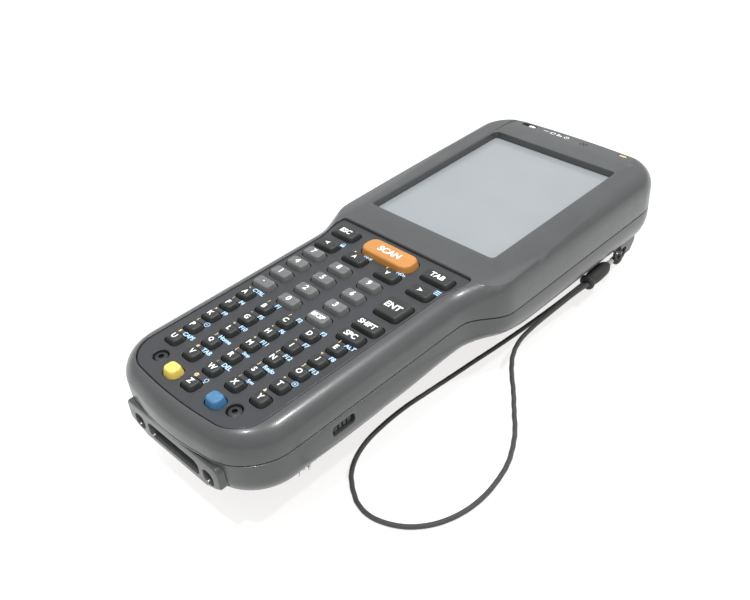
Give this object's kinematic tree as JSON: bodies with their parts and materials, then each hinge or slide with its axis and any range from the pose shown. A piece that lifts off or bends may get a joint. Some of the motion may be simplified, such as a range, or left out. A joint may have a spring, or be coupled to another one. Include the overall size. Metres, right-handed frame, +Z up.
{
  "type": "handheld data collector",
  "caption": "Rugged handheld data collector: display head, keypad grip with press-in keys, side battery latches, rear hand strap and a looped wrist lanyard.",
  "frame": {"origin": "middle of the resting plane under the device, with the wrist lanyard left out", "axes": "+Z up out of the screen and keys, +Y from the dock end to the display head, +X to the right of the keypad"},
  "size_m": [0.1023, 0.194, 0.04],
  "materials": {
    "dark_shell": "moulded charcoal plastic, fine texture, semi-gloss",
    "panel_film": "satin charcoal faceplate",
    "black_plastic": "satin black plastic",
    "grey_key": "satin mid grey plastic",
    "orange_key": "satin orange plastic",
    "yellow_key": "satin yellow plastic",
    "blue_key": "satin blue plastic",
    "black_rubber": "matte black silicone",
    "screen_glass": "light grey display behind a glossy touch panel",
    "red_window": "dark red polished window",
    "circuit_board": "green solder resist",
    "steel": "satin steel",
    "gold_contact": "gold-plated contacts",
    "clear_lens": "clear polished lens",
    "amber_lens": "amber polished lens",
    "webbing": "black woven webbing",
    "cord": "black braided cord"
  },
  "bodies": {
    "housing": {"front_cover": "dark_shell", "rear_cover": "dark_shell", "cover_seal": "black_rubber", "keypad_panel": "panel_film", "keypad_mat": "black_rubber", "keypad_board": "circuit_board", "touch_panel": "screen_glass", "display_gasket": "black_rubber", "lcd_module": "steel", "status_lamp": "clear_lens", "charge_lamp": "amber_lens", "main_board": "circuit_board", "scan_engine": "black_plastic", "scan_window": "red_window", "speaker": "steel", "radio_module": "steel", "backup_cell": "steel", "battery_pack": "dark_shell", "battery_contacts": "gold_contact", "dock_bezel": "dark_shell", "dock_connector": "gold_contact", "case_screw_1": "steel", "case_screw_2": "steel", "case_screw_3": "steel", "case_screw_4": "steel", "panel_screw_left": "steel", "panel_screw_right": "steel", "hand_strap": "webbing", "strap_tail": "webbing", "strap_pin_upper": "steel", "strap_pin_lower": "steel", "lanyard_cord": "cord", "lanyard_capsule": "black_rubber", "lanyard_knot": "cord"},
    "key_esc": {"key_esc": "black_plastic"},
    "key_scan": {"key_scan": "orange_key"},
    "key_tab": {"key_tab": "black_plastic"},
    "key_left": {"key_left": "black_plastic"},
    "key_up": {"key_up": "black_plastic"},
    "key_down": {"key_down": "black_plastic"},
    "key_right": {"key_right": "black_plastic"},
    "key_ent": {"key_ent": "black_plastic"},
    "key_shift": {"key_shift": "black_plastic"},
    "key_spc": {"key_spc": "black_plastic"},
    "key_yellow": {"key_yellow": "yellow_key"},
    "key_blue": {"key_blue": "blue_key"},
    "key_0": {"key_0": "grey_key"},
    "key_1": {"key_1": "grey_key"},
    "key_2": {"key_2": "grey_key"},
    "key_3": {"key_3": "grey_key"},
    "key_4": {"key_4": "grey_key"},
    "key_5": {"key_5": "grey_key"},
    "key_6": {"key_6": "grey_key"},
    "key_7": {"key_7": "grey_key"},
    "key_8": {"key_8": "grey_key"},
    "key_9": {"key_9": "grey_key"},
    "key_dot": {"key_dot": "grey_key"},
    "key_bksp": {"key_bksp": "grey_key"},
    "battery_latch_left": {"battery_latch_left": "black_plastic"},
    "battery_latch_right": {"battery_latch_right": "black_plastic"}
  },
  "joints": [
    {"name": "press_esc", "type": "slide", "parent": "housing", "child": "key_esc", "axis": [0, 0, -1], "range_m": [0, 0.0008], "stiffness_N_per_m": 1400},
    {"name": "press_scan", "type": "slide", "parent": "housing", "child": "key_scan", "axis": [0, 0, -1], "range_m": [0, 0.0008], "stiffness_N_per_m": 1400},
    {"name": "press_tab", "type": "slide", "parent": "housing", "child": "key_tab", "axis": [0, 0, -1], "range_m": [0, 0.0008], "stiffness_N_per_m": 1400},
    {"name": "press_left", "type": "slide", "parent": "housing", "child": "key_left", "axis": [0, 0, -1], "range_m": [0, 0.0008], "stiffness_N_per_m": 1400},
    {"name": "press_up", "type": "slide", "parent": "housing", "child": "key_up", "axis": [0, 0, -1], "range_m": [0, 0.0008], "stiffness_N_per_m": 1400},
    {"name": "press_down", "type": "slide", "parent": "housing", "child": "key_down", "axis": [0, 0, -1], "range_m": [0, 0.0008], "stiffness_N_per_m": 1400},
    {"name": "press_right", "type": "slide", "parent": "housing", "child": "key_right", "axis": [0, 0, -1], "range_m": [0, 0.0008], "stiffness_N_per_m": 1400},
    {"name": "press_ent", "type": "slide", "parent": "housing", "child": "key_ent", "axis": [0, 0, -1], "range_m": [0, 0.0008], "stiffness_N_per_m": 1400},
    {"name": "press_shift", "type": "slide", "parent": "housing", "child": "key_shift", "axis": [0, 0, -1], "range_m": [0, 0.0008], "stiffness_N_per_m": 1400},
    {"name": "press_spc", "type": "slide", "parent": "housing", "child": "key_spc", "axis": [0, 0, -1], "range_m": [0, 0.0008], "stiffness_N_per_m": 1400},
    {"name": "press_yellow", "type": "slide", "parent": "housing", "child": "key_yellow", "axis": [0, 0, -1], "range_m": [0, 0.0008], "stiffness_N_per_m": 1400},
    {"name": "press_blue", "type": "slide", "parent": "housing", "child": "key_blue", "axis": [0, 0, -1], "range_m": [0, 0.0008], "stiffness_N_per_m": 1400},
    {"name": "press_0", "type": "slide", "parent": "housing", "child": "key_0", "axis": [0, 0, -1], "range_m": [0, 0.0008], "stiffness_N_per_m": 1400},
    {"name": "press_1", "type": "slide", "parent": "housing", "child": "key_1", "axis": [0, 0, -1], "range_m": [0, 0.0008], "stiffness_N_per_m": 1400},
    {"name": "press_2", "type": "slide", "parent": "housing", "child": "key_2", "axis": [0, 0, -1], "range_m": [0, 0.0008], "stiffness_N_per_m": 1400},
    {"name": "press_3", "type": "slide", "parent": "housing", "child": "key_3", "axis": [0, 0, -1], "range_m": [0, 0.0008], "stiffness_N_per_m": 1400},
    {"name": "press_4", "type": "slide", "parent": "housing", "child": "key_4", "axis": [0, 0, -1], "range_m": [0, 0.0008], "stiffness_N_per_m": 1400},
    {"name": "press_5", "type": "slide", "parent": "housing", "child": "key_5", "axis": [0, 0, -1], "range_m": [0, 0.0008], "stiffness_N_per_m": 1400},
    {"name": "press_6", "type": "slide", "parent": "housing", "child": "key_6", "axis": [0, 0, -1], "range_m": [0, 0.0008], "stiffness_N_per_m": 1400},
    {"name": "press_7", "type": "slide", "parent": "housing", "child": "key_7", "axis": [0, 0, -1], "range_m": [0, 0.0008], "stiffness_N_per_m": 1400},
    {"name": "press_8", "type": "slide", "parent": "housing", "child": "key_8", "axis": [0, 0, -1], "range_m": [0, 0.0008], "stiffness_N_per_m": 1400},
    {"name": "press_9", "type": "slide", "parent": "housing", "child": "key_9", "axis": [0, 0, -1], "range_m": [0, 0.0008], "stiffness_N_per_m": 1400},
    {"name": "press_dot", "type": "slide", "parent": "housing", "child": "key_dot", "axis": [0, 0, -1], "range_m": [0, 0.0008], "stiffness_N_per_m": 1400},
    {"name": "press_bksp", "type": "slide", "parent": "housing", "child": "key_bksp", "axis": [0, 0, -1], "range_m": [0, 0.0008], "stiffness_N_per_m": 1400},
    {"name": "squeeze_latch_left", "type": "slide", "parent": "housing", "child": "battery_latch_left", "axis": [1, 0, 0], "range_m": [0, 0.0016], "stiffness_N_per_m": 900},
    {"name": "squeeze_latch_right", "type": "slide", "parent": "housing", "child": "battery_latch_right", "axis": [-1, 0, 0], "range_m": [0, 0.0016], "stiffness_N_per_m": 900}
  ]
}
